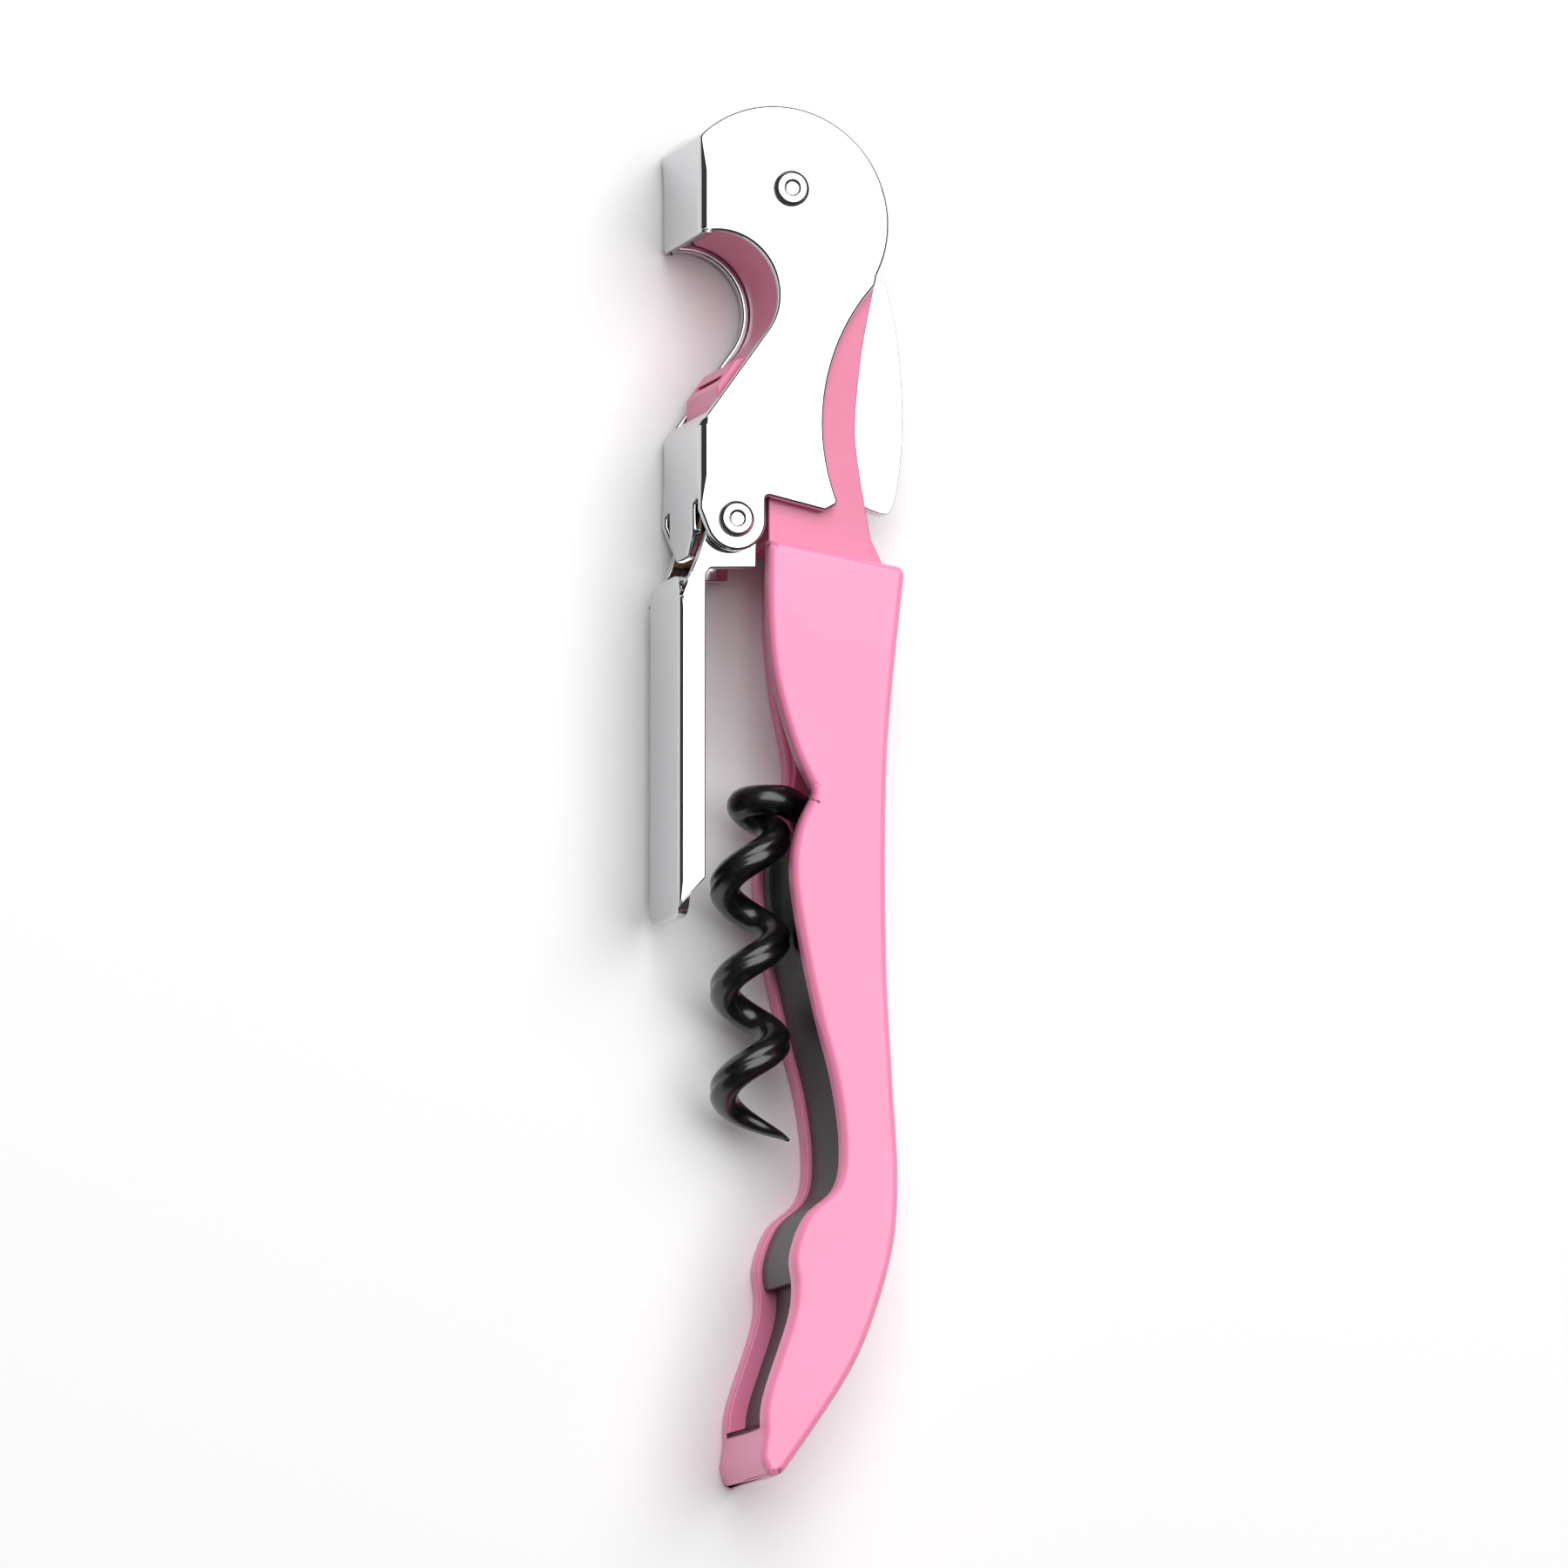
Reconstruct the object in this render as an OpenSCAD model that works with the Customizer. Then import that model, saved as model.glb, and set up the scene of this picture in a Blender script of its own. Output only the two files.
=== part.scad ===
// Double-hinged lever corkscrew, folded, lying on its side.
// X runs from the levers towards the back of the grip, Y along the tool towards
// its head, Z up from the resting face. The worm swings on the Z axis of the origin.

/* [Grip] */
// Thickness over both walls of the grip
grip_t = 13.4; // [12.8:0.1:16.4]
// Thickness of each side wall
grip_wall = 1.8; // [1.5:0.05:2.4]
// Thickness of the wall along the back
grip_back = 1.5; // [1.2:0.05:1.6]
// Height of the top step above the worm pivot
grip_head = 23; // [21.5:0.1:25.6]
// Distance from the worm pivot down to the nose
grip_tail = 59.1; // [49:0.1:71]
// How far the thumb relief cuts back the resting side's wall
relief_d = 3.2; // [1:0.1:3.8]
// Solid length of the nose, below the channel
nose_l = 3.3; // [2.5:0.1:5]

/* [Neck frame] */
// Distance along the tool from the worm pivot to the head rivet
neck_l = 54.05; // [53:0.1:65]
// How far the head rivet sits ahead of the worm pivot
neck_set = 4.78; // [4:0.1:5.8]
// Sheet thickness of the frame
neck_sheet = 1; // [0.8:0.05:1.2]
// Radius of the frame's round head
neck_head_r = 6.6; // [5.5:0.1:6.8]

/* [Upper lever] */
// Sheet thickness of the upper lever
lever_sheet = 1; // [0.8:0.05:1.2]
// Radius of the round head
head_r = 10.1; // [9.6:0.1:11]
// Distance from the head rivet to the outside of the hook
hook_set = 8.27; // [7.9:0.05:9]
// Radius of the cap lifter's notch
notch_r = 5.4; // [4.5:0.1:6]
// Distance along the tool from the head rivet to the hinge rivet
hinge_drop = 29.45; // [28:0.1:35.4]
// Radius of the lugs round the hinge rivet
lug_r = 2.75; // [2.4:0.05:3.2]

/* [Lower lever] */
// Sheet thickness of the lower lever
link_sheet = 1; // [0.8:0.05:1.2]
// Distance from the hinge rivet to the tip
link_l = 34.8; // [29:0.1:41.8]
// Depth of the channel, over its web
link_d = 2.4; // [2:0.05:2.6]
// How far the lower lever stands ahead of the upper lever's web
link_set = 1.5; // [1.3:0.05:2]

/* [Worm] */
// Outer radius of the helix
worm_r = 3.6; // [3:0.05:3.6]
// Diameter of the wire
worm_wire = 2.7; // [2.2:0.05:2.8]
// Rise of one turn
worm_pitch = 8.95; // [8.5:0.05:10.8]
// Turns from the first to the point
worm_turns = 3; // [2.5:0.25:3.6]
// How far the helix axis stands ahead of the pivot
worm_set = 6.7; // [6.4:0.05:7.2]

/* [Foil knife] */
// Thickness of the blade
knife_t = 1.6; // [1.2:0.05:2]
// Distance from the head rivet to the knife's tip
knife_l = 27.6; // [23:0.1:30]
// Spacing of the teeth
tooth_w = 1.4; // [1:0.1:2]

/* [Rivets and pins] */
// Radius of the head rivet and the hinge rivet
rivet_r = 1.1; // [0.9:0.05:1.3]
// Radius of the rivet heads
rivet_head_r = 1.6; // [1.5:0.05:2]
// Radius of the hidden pin that carries the worm
pin_r = 1.1; // [0.9:0.05:1.3]
// Wall of the brass bush in the hinge
bush_wall = 0.75; // [0.5:0.05:0.8]

/* [Fits] */
// Radial clearance of each turning fit
run_gap = 0.05; // [0.02:0.01:0.1]
// Gap between a lever's side and the frame or the other lever
side_gap = 0.3; // [0.25:0.01:0.35]
// Clearance on each face of a washer, a spacer or a collar
face_gap = 0.05; // [0.03:0.01:0.1]
// Gap between the helix and the cradle's groove
worm_gap = 0.35; // [0.3:0.05:0.5]

/* [Hidden] */
$fn = 64;
eps = 0.01;
far = 40;

// Layers across the thickness, from the resting face up
mid_z = grip_t / 2;
frame_z = grip_wall;
frame_w = grip_t - 2 * grip_wall;
lever_z = frame_z - side_gap - lever_sheet;
lever_w = grip_t - 2 * lever_z;

// Pivots
head_at = [-neck_set, neck_l];
hinge_at = [head_at.x - 5, neck_l - hinge_drop];
head_mid = head_at + [-1.12, -2.75];
web_x = head_at.x - hook_set;
notch_at = head_at + [-6.52, -9.45];
link_x = web_x - link_set;

// Curve through points, with n steps between neighbours
function knot(p, i) = p[max(0, min(len(p) - 1, i))];
function blend(a, b, c, d, t) =
    b + t / 2 * ((c - a) + t * ((2 * a - 5 * b + 4 * c - d) + t * (3 * (b - c) + d - a)));
function curve(p, n) = concat(
    [for (i = [0:len(p) - 2], k = [0:n - 1]) blend(knot(p, i - 1), p[i], p[i + 1], knot(p, i + 2), k / n)],
    [p[len(p) - 1]]
);
// The same curve moved sideways by d, to the left of its direction
function side(v) = [-v.y, v.x] / norm(v);
function beside(p, d) = [for (i = [0:len(p) - 1]) p[i] + d * side(knot(p, i + 1) - knot(p, i - 1))];
function shifted(p, v) = [for (q = p) q + v];
function arc(c, r, a0, a1, n) =
    [for (k = [0:n]) c + r * [cos(a0 + (a1 - a0) * k / n), sin(a0 + (a1 - a0) * k / n)]];

// Outline of the grip: X ahead of or behind the pivot, Y as a share of the head or the tail
waist_x = -2.65;
waist_y = 0.8;
function up(p) = [for (q = p) [q.x, q.y * grip_head]];
function down(p) = [for (q = p) [q.x, -q.y * grip_tail]];
lug_gap = 0.13;
front_x = hinge_at.x + lug_r + lug_gap;
front_upper = concat(
    up([[front_x + 0.05, 1], [front_x, 0.72], [-6.3, 0.463], [-4.5, 0.195]]),
    [[waist_x, waist_y]]
);
front_lower = concat([[waist_x, waist_y]], down([
    [-4.1, 0.037], [-4.7, 0.105], [-3.9, 0.203], [-2.5, 0.313], [-0.9, 0.416], [-0.2, 0.508],
    [-0.75, 0.569], [-3.4, 0.6125], [-4.7, 0.67], [-4.5, 0.717], [-4.9, 0.767], [-7.1, 0.88], [-7.3, 0.934],
]));
nose = down([[-7.6, 0.968], [-7.2, 0.993], [-6.3, 1], [-5.4, 0.988]]);
back = concat(
    down([[-3.1, 0.934], [1.3, 0.817], [4.2, 0.675], [4.9, 0.558], [4.4, 0.406], [3.85, 0.22]]),
    up([[3.85, 0.061], [4.4, 0.435], [5.6, 0.91]])
);
curve_n = 5;
front_curve = concat(curve(front_upper, curve_n), curve(front_lower, curve_n));
back_curve = curve(back, curve_n);
floor_curve = beside(back_curve, grip_back);
channel_end = -(grip_tail - nose_l);
cradle_top = -4;
cradle_recess = 0.55;
cradle_step = 1.05;

// ---- shared shapes ----

// Plate of a flat outline between two heights
module plate(z, h) {
    translate([0, 0, z]) linear_extrude(h) children();
}

// Two equal plates at the sides of a channel that is w wide
module cheeks(z, w, t) {
    plate(z, t) children();
    plate(z + w - t, t) children();
}

// Round hole or pin along Z
module round_z(at, r, z0 = -1, z1 = 0) {
    top = z1 == 0 ? grip_t + 1 : z1;
    translate([at.x, at.y, z0]) cylinder(h = top - z0, r = r);
}

// Flat ring on a pivot
module ring(at, r_out, r_in, z, h) {
    difference() {
        round_z(at, r_out, z, z + h);
        round_z(at, r_in, z - eps, z + h + eps);
    }
}

// Everything ahead of a front edge, drawn out past the tool
module ahead(p) {
    polygon(concat(p, [[-far, p[len(p) - 1].y], [-far, p[0].y]]));
}

// ---- grip ----

module grip_outline() {
    polygon(concat(front_curve, nose, back_curve));
}

// Open room between the walls; the back wall and the nose stay
module channel_outline() {
    intersection() {
        polygon(concat(
            floor_curve,
            [[floor_curve[len(floor_curve) - 1].x, far], [-far, far], [-far, -grip_tail]]
        ));
        translate([-far, channel_end]) square([2 * far, 2 * far]);
    }
}

// Thumb relief in the resting side, from the waist to the top
module relief_outline() {
    edge = concat(
        [[front_upper[0].x + relief_d, grip_head + 2]],
        [for (i = [0:3]) front_upper[i] + [relief_d * (i < 3 ? 1 : 0.8), 0]],
        [front_upper[4] + [0, -eps]]
    );
    ahead(curve(edge, curve_n));
}

module grip_shell() {
    color("hotpink") difference() {
        plate(0, grip_t) grip_outline();
        plate(frame_z, frame_w) channel_outline();
        plate(-1, 1 + frame_z + eps) relief_outline();
        round_z([0, 0], pin_r, frame_z - pin_seat, frame_z + frame_w + pin_seat);
    }
}

// ---- neck frame ----
neck_inset = 0.6;
tail_r = 2.1;
tail_inset = 0.5;
neck_front_x = front_upper[0].x + 0.4;
notch_foot = [web_x, notch_at.y - 11.7];

// Point where a line from p touches the circle round c, on its lower right side
function touch(c, r, p) =
    let (v = p - c, a = atan2(v.y, v.x), b = acos(r / norm(v))) c + r * [cos(a + b), sin(a + b)];

// Room in front of the notch, grown by e
module notch_room(e) {
    t = touch(notch_at, notch_r, notch_foot);
    u = side(notch_foot - t);
    translate(notch_at) circle(notch_r + e);
    polygon([
        notch_at + [0, 0], t + e * -u, notch_foot + e * -u + (notch_foot - t) * 0.5,
        [-far, notch_foot.y - 6], [-far, notch_at.y],
    ]);
}

// Room ahead of the neck below the notch, grown by e
module throat_room(e) {
    beak = notch_at.y - 10.4;
    ahead([
        [neck_beak_x + e, beak + 3], [neck_beak_x + e, beak - 3.2], [neck_front_x + e, beak - 7 - e / 2],
        [neck_front_x + e, grip_head - 1],
    ]);
}
neck_beak_x = web_x + lever_sheet + 0.9;

module neck_blank() {
    tail_front = [
        for (q = curve(front_upper, curve_n)) if (q.y < grip_head - 1 && q.y > 3) q + [tail_inset, 0]
    ];
    tail_back = [for (q = floor_curve) if (q.y > 0) q];
    right = curve([
        [2.9, grip_head + 0.5], head_at + [6.45, -23.4], head_at + [6.3, -19.5], head_at + [6.9, -13.8],
        head_at + [7.9, -8.6], head_at + [8.3, -6.6],
    ], curve_n);
    polygon(concat(
        [[neck_beak_x - 4, head_at.y - 6], [neck_beak_x - 4, grip_head - 0.5]],
        [[neck_front_x, grip_head - 0.5]],
        tail_front, arc([0, 0], tail_r, 180, 360, 16), tail_back, right,
        arc(head_at, neck_head_r, -42, 222, 48)
    ));
}

module neck_outline() {
    difference() {
        neck_blank();
        notch_room(neck_inset);
        throat_room(0);
    }
}

module neck_frame() {
    color("palevioletred") difference() {
        union() {
            cheeks(frame_z, frame_w, neck_sheet) neck_outline();
            plate(frame_z + neck_sheet / 2, frame_w - neck_sheet) intersection() {
                neck_outline();
                union() {
                    notch_room(neck_inset + neck_sheet);
                    throat_room(neck_sheet);
                }
                translate([-far, grip_head]) square([2 * far, 2 * far]);
            }
        }
        plate(-1, 1 + frame_z + neck_sheet + eps) intersection() {
            translate([tail_inset, 0]) relief_outline();
            translate([-far, -far]) square([2 * far, far + grip_head]);
        }
        round_z(head_at, rivet_r + run_gap);
        round_z([0, 0], pin_r);
    }
}

// ---- worm, its pin and cradle ----
pin_seat = 0.8;
eye_r = 2;
eye_w = 3.2;
collar_r = 1.8;
wire_r = worm_wire / 2;
wire_sides = 12;
shank = [-4.2, 0.75, mid_z + 0.9];
left_y = -6.6;
first_a = 150;
last_a = 90 - 360 * worm_turns;
point_a = 200;
turn_step = 15;

// Wire radius and centre line of the helix at angle a; a falls towards the point
function wire_at(a) = wire_r * (a > last_a + point_a ? 1 : 0.12 + 0.88 * sin(90 * (a - last_a) / point_a));
function helix(a) = [
    (worm_r - wire_at(a)) * sin(a) - worm_set,
    left_y + worm_pitch * (a + 90) / 360,
    (worm_r - wire_at(a)) * cos(a) + mid_z,
];
function bezier(a, b, c, d, n) = [for (k = [0:n - 1]) let (t = k / n, u = 1 - t)
    u * u * u * a + 3 * t * u * u * b + 3 * t * t * u * c + t * t * t * d];
function unit(v) = v / norm(v);

// Rings of points round a centre line that never runs along Y
function ring_at(p, t, r) = let (n = unit(cross(t, [0, 1, 0])), b = cross(n, t))
    [for (k = [0:wire_sides - 1]) p + r * (cos(360 * k / wire_sides) * n + sin(360 * k / wire_sides) * b)];

module wire(path, radii) {
    last = len(path) - 1;
    rings = [
        for (i = [0:last]) ring_at(path[i], unit(path[min(i + 1, last)] - path[max(i - 1, 0)]), radii[i])
    ];
    polyhedron(
        points = [for (one = rings, q = one) q],
        faces = concat(
            [[for (k = [wire_sides - 1:-1:0]) k]],
            [for (i = [0:last - 1], k = [0:wire_sides - 1]) let (
                a = i * wire_sides + k, b = i * wire_sides + (k + 1) % wire_sides
            ) [a, b, b + wire_sides, a + wire_sides]],
            [[for (k = [0:wire_sides - 1]) last * wire_sides + k]]
        )
    );
}

module worm() {
    start = helix(first_a);
    lead = unit(helix(first_a + 5) - start);
    turns = [for (a = [first_a:-turn_step:last_a]) a];
    path = concat(
        bezier([-1.5, 0, mid_z], [-2.5, 0, mid_z], shank + [0.8, 0, 0], shank, 3),
        bezier(shank, shank - [3.8, 0, 0], start + 2.6 * lead, start, 9),
        [for (a = turns) helix(a)]
    );
    radii = concat([for (k = [1:12]) wire_r], [for (a = turns) wire_at(a)]);
    color("black") difference() {
        union() {
            wire(path, radii);
            round_z([0, 0], eye_r, mid_z - eye_w / 2, mid_z + eye_w / 2);
        }
        round_z([0, 0], pin_r + run_gap);
    }
}

module worm_pin() {
    color("silver") round_z([0, 0], pin_r, frame_z - pin_seat, frame_z + frame_w + pin_seat);
}

// Ring on a pivot between two faces, in the lower or the upper half
module spacer(at, r_out, r_in, z0, z1, is_upper) {
    z = is_upper ? grip_t - z1 : z0;
    ring(at, r_out, r_in, z + face_gap, z1 - z0 - 2 * face_gap);
}

module worm_collar(is_upper) {
    color("gray") spacer([0, 0], collar_r, pin_r, frame_z + neck_sheet, mid_z - eye_w / 2, is_upper);
}

module worm_cradle() {
    front = curve(front_lower, curve_n);
    color("dimgray") difference() {
        plate(frame_z, frame_w) difference() {
            intersection() {
                channel_outline();
                grip_outline();
                translate([-far, -2 * grip_tail]) square([2 * far, 2 * grip_tail + cradle_top]);
            }
            ahead(shifted(front, [cradle_recess, 0]));
            ahead(shifted(
                [for (q = front) if (q.y < -cradle_step_y * grip_tail) q],
                [cradle_recess + cradle_step, 0]
            ));
        }
        translate([-worm_set, 0, mid_z]) rotate([90, 0, 0])
            cylinder(h = -cradle_groove_y, r = worm_r + worm_gap);
    }
}
cradle_step_y = 0.7;
cradle_groove_y = left_y + worm_pitch * (last_a + 90) / 360 - 2 * worm_wire;

// ---- upper lever ----
tongue_y = hinge_at.y - 2.9;
slot_y = hinge_at.y + 1.8;
slot_w = 1.5;
tongue_cut = 2;
foot_y = grip_head + 2.65;
waist_r = 18.7;
waist_at = head_at + [21.7, -20.65];

module lever_outline() {
    top_foot = head_mid + head_r * [cos(27), -sin(27)];
    difference() {
        union() {
            intersection() {
                translate(head_mid) circle(head_r);
                translate([web_x, 0]) square([far, 2 * far]);
            }
            polygon([
                [web_x, head_mid.y], [web_x, hinge_at.y + 0.8], hinge_at + lug_r * [-cos(20), -sin(20)],
                hinge_at, hinge_at + [lug_r, 0],
                [hinge_at.x + lug_r, foot_y + 1.15], [head_at.x + 3.1, foot_y],
                [head_at.x + 4.2, foot_y + 0.6], top_foot, head_mid,
            ]);
            translate(hinge_at) circle(lug_r);
        }
        notch_room(0);
        translate(waist_at) circle(waist_r);
    }
}

// Outline across the web, drawn as Y and Z and extruded along X
module web_block(x, t) {
    translate([x, 0, 0]) rotate([90, 0, 90]) linear_extrude(t) children();
}

module upper_lever() {
    foot = lever_z + lever_sheet + slot_w;
    color("gainsboro") difference() {
        union() {
            cheeks(lever_z, lever_w, lever_sheet) lever_outline();
            intersection() {
                union() {
                    plate(lever_z + lever_sheet / 2, lever_w - lever_sheet) lever_outline();
                    plate(foot, grip_t - 2 * foot) translate([web_x, tongue_y])
                        square([lever_sheet, lug_r + 3]);
                }
                web_block(web_x, lever_sheet) polygon([
                    [head_at.y + far, 0], [slot_y, 0], [slot_y, foot], [tongue_y + tongue_cut, foot],
                    [tongue_y, foot + tongue_cut], [tongue_y, grip_t - foot - tongue_cut],
                    [tongue_y + tongue_cut, grip_t - foot], [slot_y, grip_t - foot], [slot_y, grip_t],
                    [head_at.y + far, grip_t],
                ]);
            }
        }
        round_z(head_at, rivet_r);
        round_z(hinge_at, rivet_r);
    }
}

// Rivet with rolled heads that end level with the grip's faces
module rivet(at) {
    head = lever_z;
    roll = 0.15;
    well_r = 0.6;
    color("silver") translate([at.x, at.y, 0]) rotate_extrude() polygon([
        [0, roll], [well_r, roll], [well_r + roll, 0], [rivet_head_r - 2 * roll, 0], [rivet_head_r, 2 * roll],
        [rivet_head_r, head], [rivet_r, head], [rivet_r, grip_t - head], [rivet_head_r, grip_t - head],
        [rivet_head_r, grip_t - 2 * roll], [rivet_head_r - 2 * roll, grip_t], [well_r + roll, grip_t],
        [well_r, grip_t - roll], [0, grip_t - roll],
    ]);
}

module head_washer(is_upper) {
    color("gray") spacer(head_at, 2.8, rivet_r + run_gap, lever_z + lever_sheet, frame_z, is_upper);
}

module hinge_washer(is_upper) {
    color("goldenrod")
        spacer(hinge_at, bush_r + 0.2, rivet_r + run_gap, lever_z + lever_sheet, frame_z, is_upper);
}

// ---- lower lever ----
bush_r = rivet_r + run_gap + bush_wall;
ear_r = 2.05;
link_tip = hinge_at.y - link_l;
link_top = hinge_at.y - 4.8;

module link_side() {
    lip_x = link_x + link_d;
    polygon([
        [link_x, link_top - 2], [link_x + 1, link_top], [hinge_at.x - 3.1, link_top + 1.6],
        hinge_at + [-1.6, 1.2],
        hinge_at + [1.8, 1], hinge_at + [2.25, -1.6], hinge_at + [2.2, -4], [lip_x + 0.4, link_top + 0.6],
        [lip_x, link_top], [lip_x, link_tip + 3.4], [link_x, link_tip + 0.8],
    ]);
    translate(hinge_at) circle(ear_r);
}

// Rectangle in Y and Z with round corners
module round_square(y0, y1, z0, z1, r) {
    translate([y0 + r, z0]) square([y1 - y0 - 2 * r, z1 - z0]);
    translate([y0, z0 + r]) square([y1 - y0, z1 - z0 - 2 * r]);
    for (y = [y0 + r, y1 - r], z = [z0 + r, z1 - r]) translate([y, z]) circle(r);
}

module lower_lever() {
    color("gainsboro") difference() {
        union() {
            cheeks(frame_z, frame_w, link_sheet) link_side();
            web_block(link_x, link_sheet) round_square(link_tip, link_top, frame_z, frame_z + frame_w, 1.9);
        }
        round_z(hinge_at, bush_r);
    }
}

module hinge_bush() {
    color("goldenrod") ring(hinge_at, bush_r, rivet_r + run_gap, frame_z, frame_w);
}

// ---- foil knife ----
hub_r = 3.9;

module foil_knife() {
    tip = head_at + [10, -knife_l];
    spine = curve([
        head_at + [10.2, -7], head_at + [11.2, -11], head_at + [11.8, -17.5], [head_at.x + 11.6, tip.y + 4.4],
        tip + [0.9, 0.7], tip, [tip.x - 2.4, tip.y + 0.8],
    ], curve_n);
    heel = head_at.y - 9.5;
    edge_x = head_at.x + 5.2;
    teeth = floor((heel - tip.y - 5) / tooth_w);
    edge = [for (k = [0:teeth - 1]) for (s = [0, 1])
        [edge_x + (s == 0 ? 0 : 0.5), tip.y + 4.2 + (k + 0.5 * s) * tooth_w]];
    color("lightgray") difference() {
        plate(mid_z - knife_t / 2, knife_t) polygon(concat(
            spine, edge, [[edge_x, heel + 0.4]], arc(head_at, hub_r, 265, -40, 48), [head_at + [6.8, -6.3]]
        ));
        round_z(head_at, rivet_r + run_gap);
    }
}

module knife_spacer(is_upper) {
    color("gray")
        spacer(head_at, 2.6, rivet_r + run_gap, frame_z + neck_sheet, mid_z - knife_t / 2, is_upper);
}

grip_shell();
neck_frame();
worm_cradle();
worm_pin();
worm_collar(true);  // worm_collar_upper
worm_collar(false);  // worm_collar_lower
worm();
upper_lever();
rivet(head_at);  // head_rivet
rivet(hinge_at);  // hinge_rivet
head_washer(true);  // head_washer_upper
head_washer(false);  // head_washer_lower
hinge_washer(true);  // hinge_washer_upper
hinge_washer(false);  // hinge_washer_lower
lower_lever();
hinge_bush();
foil_knife();
knife_spacer(true);  // knife_spacer_upper
knife_spacer(false);  // knife_spacer_lower
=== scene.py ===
import bpy
import bmesh
import math
from mathutils import Matrix, Vector


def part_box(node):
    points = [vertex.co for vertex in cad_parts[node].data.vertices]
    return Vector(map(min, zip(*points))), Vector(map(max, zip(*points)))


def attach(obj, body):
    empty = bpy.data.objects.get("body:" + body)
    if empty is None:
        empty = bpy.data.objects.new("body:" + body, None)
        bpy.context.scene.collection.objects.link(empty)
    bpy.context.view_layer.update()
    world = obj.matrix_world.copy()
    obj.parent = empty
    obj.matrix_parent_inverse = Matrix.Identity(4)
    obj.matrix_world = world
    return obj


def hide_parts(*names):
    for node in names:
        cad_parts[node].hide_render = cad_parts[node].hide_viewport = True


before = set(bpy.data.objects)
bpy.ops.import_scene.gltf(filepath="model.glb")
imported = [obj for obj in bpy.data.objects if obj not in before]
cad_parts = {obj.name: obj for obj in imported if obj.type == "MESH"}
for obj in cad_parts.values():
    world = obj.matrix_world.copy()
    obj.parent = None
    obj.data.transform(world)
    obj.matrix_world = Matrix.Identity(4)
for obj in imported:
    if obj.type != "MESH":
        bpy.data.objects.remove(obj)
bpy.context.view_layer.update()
mm = 0.001
print("frame loaded:", len(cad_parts), "nodes")


def hexToLinear(text):
    # sRGB hex to the linear values that a shader socket takes
    parts = [int(text[i:i + 2], 16) / 255 for i in (1, 3, 5)]
    linear = [p / 12.92 if p <= 0.04045 else ((p + 0.055) / 1.055) ** 2.4 for p in parts]
    return (*linear, 1.0)


def addNode(tree, kind, settings=None, inputs=None, links=None):
    # settings go on the node, inputs are socket values, links are socket: (node, output)
    node = tree.nodes.new(kind)
    for name, value in (settings or {}).items():
        setattr(node, name, value)
    for name, value in (inputs or {}).items():
        node.inputs[name].default_value = value
    for name, (source, output) in (links or {}).items():
        tree.links.new(source.outputs[output], node.inputs[name])
    return node


def newMaterial(name, inputs):
    material = bpy.data.materials.new(name)
    material.use_nodes = True
    tree = material.node_tree
    shader = tree.nodes["Principled BSDF"]
    for socket, value in inputs.items():
        shader.inputs[socket].default_value = value
    place = addNode(tree, "ShaderNodeTexCoord")
    return material, tree, shader, place


# sockets of a Mix node that is set to colour
mixSocket = {"factor": 0, "first": 6, "second": 7, "mixed": 2}


def mouldedPlastic(name, light, deep, roughness, grain):
    # plastic from a polished mould, or a baked powder coat: a soft sheen over an even colour,
    # with a faint orange peel that only shows where a highlight breaks up
    material, tree, shader, place = newMaterial(name, {
        "Roughness": roughness, "IOR": 1.52, "Coat Weight": 0.25, "Coat Roughness": 0.12,
    })
    cloud = addNode(tree, "ShaderNodeTexNoise", inputs={"Scale": 1 / (14 * mm), "Detail": 2.0},
                    links={"Vector": (place, "Object")})
    share = addNode(tree, "ShaderNodeMapRange", inputs={"From Min": 0.3, "From Max": 0.75},
                    links={"Value": (cloud, "Fac")})
    tone = addNode(tree, "ShaderNodeMix", settings={"data_type": "RGBA"},
                   inputs={mixSocket["first"]: hexToLinear(deep), mixSocket["second"]: hexToLinear(light)},
                   links={mixSocket["factor"]: (share, "Result")})
    tree.links.new(tone.outputs[mixSocket["mixed"]], shader.inputs["Base Color"])
    # the peel is drawn at 0.35 mm, coarser than the real one, so that it shows
    peel = addNode(tree, "ShaderNodeTexNoise", inputs={"Scale": 1 / (0.35 * mm), "Detail": 1.0},
                   links={"Vector": (place, "Object")})
    rough = addNode(tree, "ShaderNodeMapRange",
                    inputs={"To Min": roughness - 0.05, "To Max": roughness + 0.08},
                    links={"Value": (peel, "Fac")})
    tree.links.new(rough.outputs["Result"], shader.inputs["Roughness"])
    bump = addNode(tree, "ShaderNodeBump", inputs={"Strength": grain, "Distance": 0.02 * mm},
                   links={"Height": (peel, "Fac")})
    tree.links.new(bump.outputs["Normal"], shader.inputs["Normal"])
    return material


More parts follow.
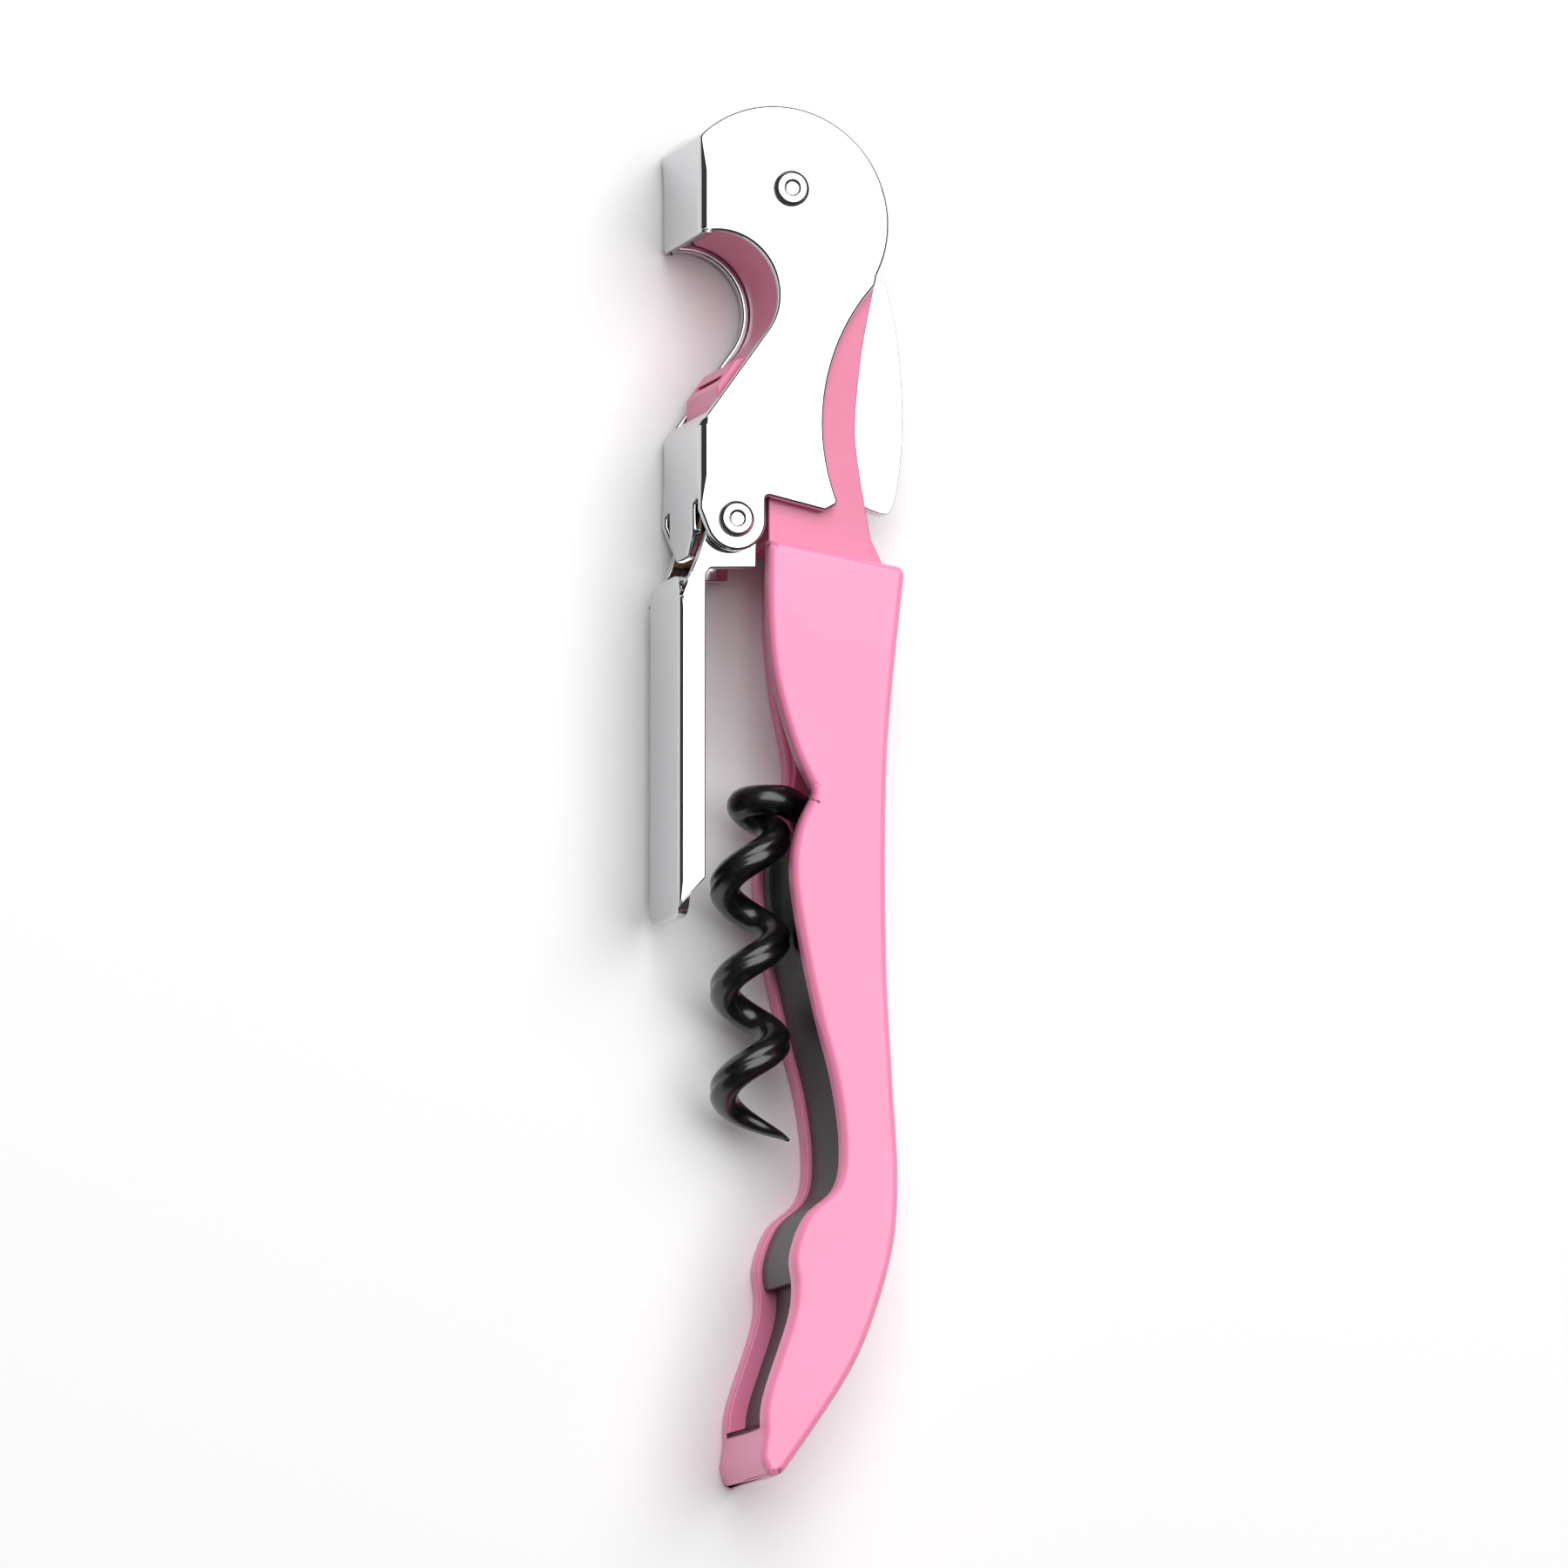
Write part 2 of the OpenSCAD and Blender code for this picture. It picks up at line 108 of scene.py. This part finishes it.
def platedMetal(name, colour, roughness, wear, lineWidth=0.0, lineAxis=1):
    # bright plating over pressed sheet: near mirror, with a slow ripple left by the press and
    # hair scratches from the drawer; lineWidth in mm gives the lines of turning or grinding
    material, tree, shader, place = newMaterial(name, {
        "Base Color": hexToLinear(colour), "Metallic": 1.0,
    })
    ripple = addNode(tree, "ShaderNodeTexNoise", inputs={"Scale": 1 / (7 * mm), "Detail": 1.0},
                     links={"Vector": (place, "Object")})
    squash = [1.0, 1.0, 1.0]
    squash[lineAxis] = 0.04
    stretch = addNode(tree, "ShaderNodeMapping", inputs={"Scale": squash},
                      links={"Vector": (place, "Object")})
    grain = addNode(tree, "ShaderNodeTexNoise",
                    inputs={"Scale": 1 / (max(lineWidth, 0.25) * mm), "Detail": 3.0},
                    links={"Vector": (stretch, "Vector")})
    rough = addNode(tree, "ShaderNodeMapRange",
                    inputs={"From Min": 0.35, "From Max": 0.75,
                            "To Min": roughness, "To Max": roughness + wear},
                    links={"Value": (grain, "Fac")})
    tree.links.new(rough.outputs["Result"], shader.inputs["Roughness"])
    low = addNode(tree, "ShaderNodeBump", inputs={"Strength": 0.12, "Distance": 0.05 * mm},
                  links={"Height": (ripple, "Fac")})
    fine = addNode(tree, "ShaderNodeBump",
                   inputs={"Strength": 0.35 if lineWidth else 0.05, "Distance": 0.01 * mm},
                   links={"Height": (grain, "Fac"), "Normal": (low, "Normal")})
    tree.links.new(fine.outputs["Normal"], shader.inputs["Normal"])
    return material


def coatedWire(name):
    # low-friction coating baked on spring wire: black, smooth, with a broad soft
    # highlight and slightly greyer, rougher flecks
    material, tree, shader, place = newMaterial(name, {
        "IOR": 1.45, "Coat Weight": 0.6, "Coat Roughness": 0.18,
    })
    speck = addNode(tree, "ShaderNodeTexNoise", inputs={"Scale": 1 / (0.5 * mm), "Detail": 4.0},
                    links={"Vector": (place, "Object")})
    share = addNode(tree, "ShaderNodeMapRange", inputs={"From Min": 0.35, "From Max": 0.8},
                    links={"Value": (speck, "Fac")})
    tone = addNode(tree, "ShaderNodeMix", settings={"data_type": "RGBA"},
                   inputs={mixSocket["first"]: hexToLinear("#060607"),
                           mixSocket["second"]: hexToLinear("#1c1c1e")},
                   links={mixSocket["factor"]: (share, "Result")})
    tree.links.new(tone.outputs[mixSocket["mixed"]], shader.inputs["Base Color"])
    rough = addNode(tree, "ShaderNodeMapRange", inputs={"To Min": 0.22, "To Max": 0.42},
                    links={"Value": (speck, "Fac")})
    tree.links.new(rough.outputs["Result"], shader.inputs["Roughness"])
    bump = addNode(tree, "ShaderNodeBump", inputs={"Strength": 0.15, "Distance": 0.02 * mm},
                   links={"Height": (speck, "Fac")})
    tree.links.new(bump.outputs["Normal"], shader.inputs["Normal"])
    return material


gripPlastic = mouldedPlastic("polishedPinkAbs", "#fb93bc", "#f98ab4", 0.34, 0.12)  # soft, even sheen
# the neck frame is the grip's own pink; both of its tones are darkened as painted shade for the notch and the
# neck under the lever cheeks
shadedFramePaint = mouldedPlastic("pinkPowderCoatPaintedShade", "#e2749c", "#d9688f", 0.38, 0.3)  # the grip's pink painted darker as painted shade, slightly pebbled
cradlePlastic = mouldedPlastic("blackMouldedNylon", "#141414", "#0b0b0b", 0.5, 0.5)  # dull, lost in shade
spacerPlastic = mouldedPlastic("blackAcetal", "#1a1a1a", "#101010", 0.45, 0.3)  # waxy and dark
leverChrome = platedMetal("brightChromePlate", "#c9cacc", 0.05, 0.08)  # mirrors the softbox and the floor
rivetChrome = platedMetal("brightRivetPlate", "#cbc8c6", 0.08, 0.1)  # a little duller than the levers
pinSteel = platedMetal("turnedSteel", "#b9b9bb", 0.25, 0.15, 0.2, 2)  # fine lines round the pin
bushBrass = platedMetal("turnedBrass", "#d9a441", 0.2, 0.15, 0.2, 2)  # a warm glint in the hinge
bladeSteel = platedMetal("satinGroundSteel", "#cfcfd1", 0.22, 0.14, 0.22, 1)  # long grinding lines
wireCoat = coatedWire("bakedBlackCoat")  # black with one soft highlight along each turn

pivotHeights = (0, 24.6, 54.05)  # mm: the worm's pivot, the hinge and the head rivet
flatAngle = math.radians(0.05)  # faces this close to parallel are one flat
sharpAngle = math.radians(32)  # edges sharper than this are broken


def mergeFlats(mesh):
    # a cut across the pivots leaves each flat in parts without holes, and each part becomes one face
    cuts = set()
    for height in pivotHeights:
        whole = mesh.verts[:] + mesh.edges[:] + mesh.faces[:]
        made = bmesh.ops.bisect_plane(mesh, geom=whole, dist=1e-7,
                                      plane_co=(0, height * mm, 0), plane_no=(0, 1, 0))
        cuts.update(item for item in made["geom_cut"] if isinstance(item, bmesh.types.BMEdge))
    seen = set()
    regions = []
    for seed in mesh.faces:
        if seed in seen:
            continue
        seen.add(seed)
        region, waiting = [], [seed]
        while waiting:
            face = waiting.pop()
            region.append(face)
            for edge in face.edges:
                for other in [] if edge in cuts else edge.link_faces:
                    if other not in seen and other.normal.angle(seed.normal) < flatAngle:
                        seen.add(other)
                        waiting.append(other)
        corners = {corner for face in region for corner in face.verts}
        sides = {edge for face in region for edge in face.edges}
        if len(region) > 1 and len(corners) - len(sides) + len(region) == 1:
            regions.append(region)
    for region in regions:
        bmesh.ops.dissolve_faces(mesh, faces=region)


def sharpEdges(mesh):
    return [edge for edge in mesh.edges
            if len(edge.link_faces) == 2 and edge.calc_face_angle() > sharpAngle]


def endsInMm(edge):
    return [corner.co / mm for corner in edge.verts]


def roundedPiece(name, look):
    # a copy of the node with every edge rounded by one weighted bevel
    small = look["edge"]
    width = look.get("wideEdge", small)
    isWide = look.get("isWide", lambda p, q: False)
    mesh = bmesh.new()
    mesh.from_mesh(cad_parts[name].data)
    bmesh.ops.remove_doubles(mesh, verts=mesh.verts, dist=0.002 * mm)
    mergeFlats(mesh)
    # a wide bend is cut into short lengths, so that its radius can run out before its ends
    bends = [edge for edge in sharpEdges(mesh) if isWide(*endsInMm(edge))]
    bmesh.ops.bisect_edges(mesh, edges=bends, cuts=look.get("bendCuts", 1))
    ends = [end.y for edge in sharpEdges(mesh) if isWide(*endsInMm(edge)) for end in endsInMm(edge)]
    weight = mesh.edges.layers.float.new("bevel_weight_edge")
    for edge in sharpEdges(mesh):
        first, second = endsInMm(edge)
        share = 0.0
        if isWide(first, second):
            middle = (first.y + second.y) / 2
            inside = min(middle - min(ends), max(ends) - middle) - look.get("endLength", 0.0)
            share = min(max(inside / look["runOut"], 0.0), 1.0) if "runOut" in look else 1.0
        edge[weight] = small / width + (1 - small / width) * share
    for face in mesh.faces:
        face.smooth = True
    data = bpy.data.meshes.new(name + "Round")
    mesh.to_mesh(data)
    mesh.free()
    piece = bpy.data.objects.new(name + "Round", data)
    bpy.context.scene.collection.objects.link(piece)
    bevel = piece.modifiers.new("edgeRound", "BEVEL")
    bevel.width = width * mm
    bevel.segments = 6 if "wideEdge" in look else 3
    bevel.limit_method = "WEIGHT"
    bevel.use_clamp_overlap = False
    bevel.miter_outer = "MITER_ARC"
    level = piece.modifiers.new("flatsStayFlat", "WEIGHTED_NORMAL")  # shading follows the larger face
    level.weight = 90
    bpy.context.view_layer.update()
    shown = bpy.data.meshes.new_from_object(piece.evaluated_get(bpy.context.evaluated_depsgraph_get()))
    piece.modifiers.clear()
    piece.data = shown
    low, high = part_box(name)
    for vertex in shown.vertices:
        vertex.co = [min(max(v, a), b) for v, a, b in zip(vertex.co, low, high)]
    shown.materials.clear()
    shown.materials.append(look["finish"])
    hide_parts(name)
    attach(piece, look["body"])


def roundedPieces(look):
    for name in look["nodes"]:
        roundedPiece(name, look)
    print("rounded:", ", ".join(look["nodes"]))


# Each piece has its CAD nodes, finish, slot, body and the radius of its broken edges in mm.
# A piece with a wide bend or rim also says which edges take it, by their two ends.
gripShell = {"nodes": ["grip_shell"], "finish": gripPlastic, "slot": "grip", "body": "grip",
             "edge": 0.3, "wideEdge": 0.75, "isWide": lambda p, q: max(p.z, q.z) > 13.39}
roundedPieces(gripShell)

neckFrame = {"nodes": ["neck_frame"], "finish": shadedFramePaint, "slot": "frame_paint", "body": "grip",
             "edge": 0.16}
roundedPieces(neckFrame)

wormCradle = {"nodes": ["worm_cradle"], "finish": cradlePlastic, "slot": "cradle", "body": "grip",
              "edge": 0.2}
roundedPieces(wormCradle)

wormPin = {"nodes": ["worm_pin"], "finish": pinSteel, "slot": "pin_steel", "body": "grip", "edge": 0.08}
roundedPieces(wormPin)

wormCollars = {"nodes": ["worm_collar_upper", "worm_collar_lower"], "finish": spacerPlastic,
               "slot": "spacer_plastic", "body": "grip", "edge": 0.08}
roundedPieces(wormCollars)

knifeSpacers = {"nodes": ["knife_spacer_upper", "knife_spacer_lower"], "finish": spacerPlastic,
                "slot": "spacer_plastic", "body": "grip", "edge": 0.08}
roundedPieces(knifeSpacers)


def alongWeb(p, q):
    # the two outer bends between the upper lever's web and its cheeks
    return max(p.x, q.x) < -13.04 and abs(p.z - q.z) < 0.01 and not 0.51 < p.z < 12.89


upperLever = {"nodes": ["upper_lever"], "finish": leverChrome, "slot": "lever_chrome", "body": "lever",
              "edge": 0.3, "wideEdge": 1.0, "isWide": alongWeb,
              "bendCuts": 60, "endLength": 0.6, "runOut": 2.5}
roundedPieces(upperLever)

leverRivets = {"nodes": ["head_rivet", "hinge_rivet"], "finish": rivetChrome,
               "slot": "rivet_chrome", "body": "lever", "edge": 0.08}
roundedPieces(leverRivets)

headWashers = {"nodes": ["head_washer_upper", "head_washer_lower"], "finish": spacerPlastic,
               "slot": "spacer_plastic", "body": "lever", "edge": 0.04}
roundedPieces(headWashers)

hingeWashers = {"nodes": ["hinge_washer_upper", "hinge_washer_lower"], "finish": bushBrass,
                "slot": "bush_brass", "body": "lever", "edge": 0.04}
roundedPieces(hingeWashers)

lowerLever = {"nodes": ["lower_lever"], "finish": leverChrome, "slot": "lever_chrome", "body": "link",
              "edge": 0.16, "wideEdge": 0.6, "isWide": lambda p, q: max(p.x, q.x) < -14.54,
              "bendCuts": 60, "endLength": 0.6, "runOut": 2.5}
roundedPieces(lowerLever)

hingeBush = {"nodes": ["hinge_bush"], "finish": bushBrass, "slot": "bush_brass", "body": "link", "edge": 0.08}
roundedPieces(hingeBush)

foilKnife = {"nodes": ["foil_knife"], "finish": bladeSteel, "slot": "blade_steel", "body": "knife",
             "edge": 0.1}
roundedPieces(foilKnife)


worm = {"wireR": 1.35, "outerR": 3.6, "pitch": 8.95, "turns": 3, "leftY": -6.6, "axisX": -6.7, "midZ": 6.7,
        "firstA": 150.0, "pointA": 200.0, "tipShare": 0.12, "step": 6.0, "sides": 40,
        "grooveDepth": 0.17, "grooveHalf": 26.0, "grooveStarts": 8, "grooveFades": 20,
        "eyeEdge": (-1.5, 0.0, 0.0), "shankEnd": (-4.2, 0.75, 0.9), "eyeSides": 64,
        "eyeProfile": [(1.15, -1.5), (1.25, -1.6), (1.85, -1.6), (2.0, -1.45),
                       (2.0, 1.45), (1.85, 1.6), (1.25, 1.6), (1.15, 1.5)]}


def wireRadius(angle):
    last = 90 - 360 * worm["turns"]
    if angle > last + worm["pointA"]:
        return worm["wireR"]
    share = (angle - last) / worm["pointA"]
    tip = worm["tipShare"]
    return worm["wireR"] * (tip + (1 - tip) * math.sin(math.radians(90 * share)))


def helixPoint(angle):
    r = worm["outerR"] - wireRadius(angle)
    a = math.radians(angle)
    return Vector((r * math.sin(a) + worm["axisX"], worm["leftY"] + worm["pitch"] * (angle + 90) / 360,
                   r * math.cos(a) + worm["midZ"]))


def bezierPoints(a, b, c, d, count):
    points = []
    for k in range(count):
        t = k / count
        u = 1 - t
        points.append(u ** 3 * a + 3 * t * u * u * b + 3 * t * t * u * c + t ** 3 * d)
    return points


def makeWorm():
    # the wire leaves its eye straight, turns into the helix and runs out to the point
    z = worm["midZ"]
    middle = Vector((0, 0, z))
    eye = middle + Vector(worm["eyeEdge"])
    shank = middle + Vector(worm["shankEnd"])
    start = helixPoint(worm["firstA"])
    lead = (helixPoint(worm["firstA"] + 5) - start).normalized()
    path = bezierPoints(eye, eye - Vector((1.0, 0, 0)), shank + Vector((0.8, 0, 0)), shank, 8)
    path += bezierPoints(shank, shank - Vector((3.8, 0, 0)), start + 2.6 * lead, start, 24)
    shankCount = len(path)
    last = 90 - 360 * worm["turns"]
    count = int((worm["firstA"] - last) / worm["step"])
    radii = [worm["wireR"]] * shankCount
    for k in range(count + 1):
        angle = worm["firstA"] - k * worm["step"]
        path.append(helixPoint(angle))
        radii.append(wireRadius(angle))
    mesh = bmesh.new()
    rings = []
    for i, point in enumerate(path):
        ahead = path[min(i + 1, len(path) - 1)] - path[max(i - 1, 0)]
        tangent = ahead.normalized()
        flat = tangent.cross(Vector((0, 1, 0))).normalized()
        rise = flat.cross(tangent)
        # the groove starts once the wire is in the helix and fades before the point
        inHelix = (i - shankCount) / worm["grooveStarts"]
        toPoint = (len(path) - 1 - i) / worm["grooveFades"]
        depth = worm["grooveDepth"] * max(0.0, min(1.0, inHelix, toPoint))
        outward = (point - Vector((worm["axisX"], point.y, z))).normalized()
        ring = []
        for k in range(worm["sides"]):
            t = 2 * math.pi * k / worm["sides"]
            arm = math.cos(t) * flat + math.sin(t) * rise
            turn = math.degrees(arm.angle(outward)) if depth else 180.0
            dip = depth * max(0.0, math.cos(math.radians(90 * min(1.0, turn / worm["grooveHalf"])))) ** 2
            ring.append(mesh.verts.new((point + (radii[i] - dip) * arm) * mm))
        rings.append(ring)
    for a, b in zip(rings, rings[1:]):
        for k in range(worm["sides"]):
            n = (k + 1) % worm["sides"]
            mesh.faces.new((a[k], a[n], b[n], b[k]))
    mesh.faces.new(list(reversed(rings[0])))
    mesh.faces.new(rings[-1])
    # flattened eye round the pin
    profile, eyeSides = worm["eyeProfile"], worm["eyeSides"]
    loops = []
    for k in range(eyeSides):
        t = 2 * math.pi * k / eyeSides
        loops.append([mesh.verts.new(Vector((r * math.cos(t), r * math.sin(t), z + h)) * mm)
                      for r, h in profile])
    for k in range(eyeSides):
        a, b = loops[k], loops[(k + 1) % eyeSides]
        for j in range(len(profile)):
            n = (j + 1) % len(profile)
            mesh.faces.new((a[j], b[j], b[n], a[n]))
    bmesh.ops.recalc_face_normals(mesh, faces=mesh.faces)
    data = bpy.data.meshes.new("coatedWorm")
    mesh.to_mesh(data)
    mesh.free()
    for face in data.polygons:
        face.use_smooth = True
    piece = bpy.data.objects.new("coatedWorm", data)
    bpy.context.scene.collection.objects.link(piece)
    data.materials.append(wireCoat)
    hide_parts("worm")
    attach(piece, "worm")


makeWorm()
print("worm swept")


studio = {"floorSize": 3.0, "boxSize": 1.2, "boxPower": 15.6, "boxPlace": (0.1, 0.4, 0.9),
          "boxTarget": (0, 0.1, 0), "air": 0.06}  # metres and watts
view = {"yaw": 16.5, "pitch": 7.5, "distance": 1.2, "width": 1800 / 13.2 * mm, "target": (-5.6, 1.4, 13.4)}


def makeFloor():
    mesh = bmesh.new()
    bmesh.ops.create_grid(mesh, x_segments=8, y_segments=8, size=studio["floorSize"] / 2)
    data = bpy.data.meshes.new("floor")
    mesh.to_mesh(data)
    mesh.free()
    floor = bpy.data.objects.new("floor", data)
    bpy.context.scene.collection.objects.link(floor)
    board = newMaterial("paleBoard", {"Base Color": hexToLinear("#fbfbfb"), "Roughness": 0.9})
    data.materials.append(board[0])


def makeLight():
    light = bpy.data.lights.new("overheadBox", "AREA")
    light.size = studio["boxSize"]
    light.energy = studio["boxPower"]
    lamp = bpy.data.objects.new("overheadBox", light)
    bpy.context.scene.collection.objects.link(lamp)
    lamp.location = studio["boxPlace"]
    aim = Vector(studio["boxTarget"]) - Vector(studio["boxPlace"])
    lamp.rotation_euler = aim.to_track_quat("-Z", "Y").to_euler()
    world = bpy.data.worlds.new("studioAir")
    world.use_nodes = True
    sky = world.node_tree.nodes["Background"]
    sky.inputs["Color"].default_value = (1.0, 1.0, 1.0, 1.0)
    sky.inputs["Strength"].default_value = studio["air"]
    bpy.context.scene.world = world


def makeCamera():
    # the tool is seen from its lever side and a little from its nose, through a long lens
    target = Vector(view["target"]) * mm
    yaw, pitch = math.radians(view["yaw"]), math.radians(view["pitch"])
    back = Vector((-math.sin(yaw) * math.cos(pitch), -math.sin(pitch), math.cos(yaw) * math.cos(pitch)))
    up = Vector((0, 1, 0))
    side = up.cross(back).normalized()
    top = back.cross(side)
    camera = bpy.data.cameras.new("camera")
    camera.sensor_width = 36.0
    camera.lens = camera.sensor_width * view["distance"] / view["width"]
    camera.clip_end = 20.0
    holder = bpy.data.objects.new("camera", camera)
    bpy.context.scene.collection.objects.link(holder)
    turned = Matrix((side, top, back)).transposed().to_4x4()
    holder.matrix_world = Matrix.Translation(target + back * view["distance"]) @ turned
    bpy.context.scene.camera = holder


makeFloor()
makeLight()
makeCamera()
bpy.context.scene.view_settings.view_transform = "Standard"
print("stage set")
